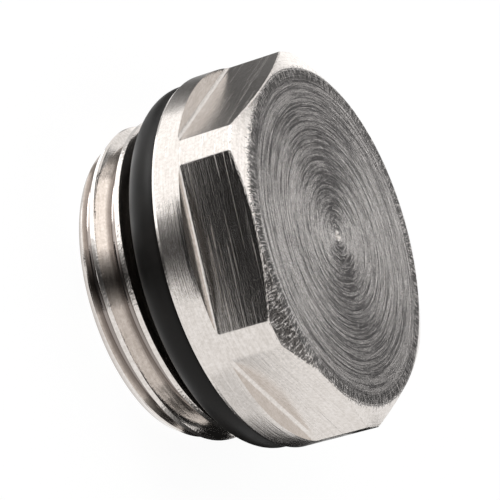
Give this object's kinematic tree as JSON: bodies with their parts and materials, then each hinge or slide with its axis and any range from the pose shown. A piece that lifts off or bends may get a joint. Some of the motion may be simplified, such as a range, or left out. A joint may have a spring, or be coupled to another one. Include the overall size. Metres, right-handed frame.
{
  "type": "radiator end plug",
  "caption": "Blind screw plug for a radiator: hexagon head with a round flange, male pipe thread, hollow behind, with a rubber sealing ring under the flange.",
  "frame": {"origin": "middle of the seal face, the rear rim of the flange, on the thread's axis", "axes": "+Z along the plug's axis, out through the hexagon head; the thread points down; +X square to one of the six flats"},
  "size_m": [0.0242, 0.0242, 0.013],
  "materials": {
    "nickel_plate": "nickel-plated brass, turned and milled, satin with cutter marks",
    "black_rubber": "moulded black rubber, satin"
  },
  "bodies": {
    "root": {"plug_body": "nickel_plate", "o_ring": "black_rubber"}
  },
  "joints": []
}
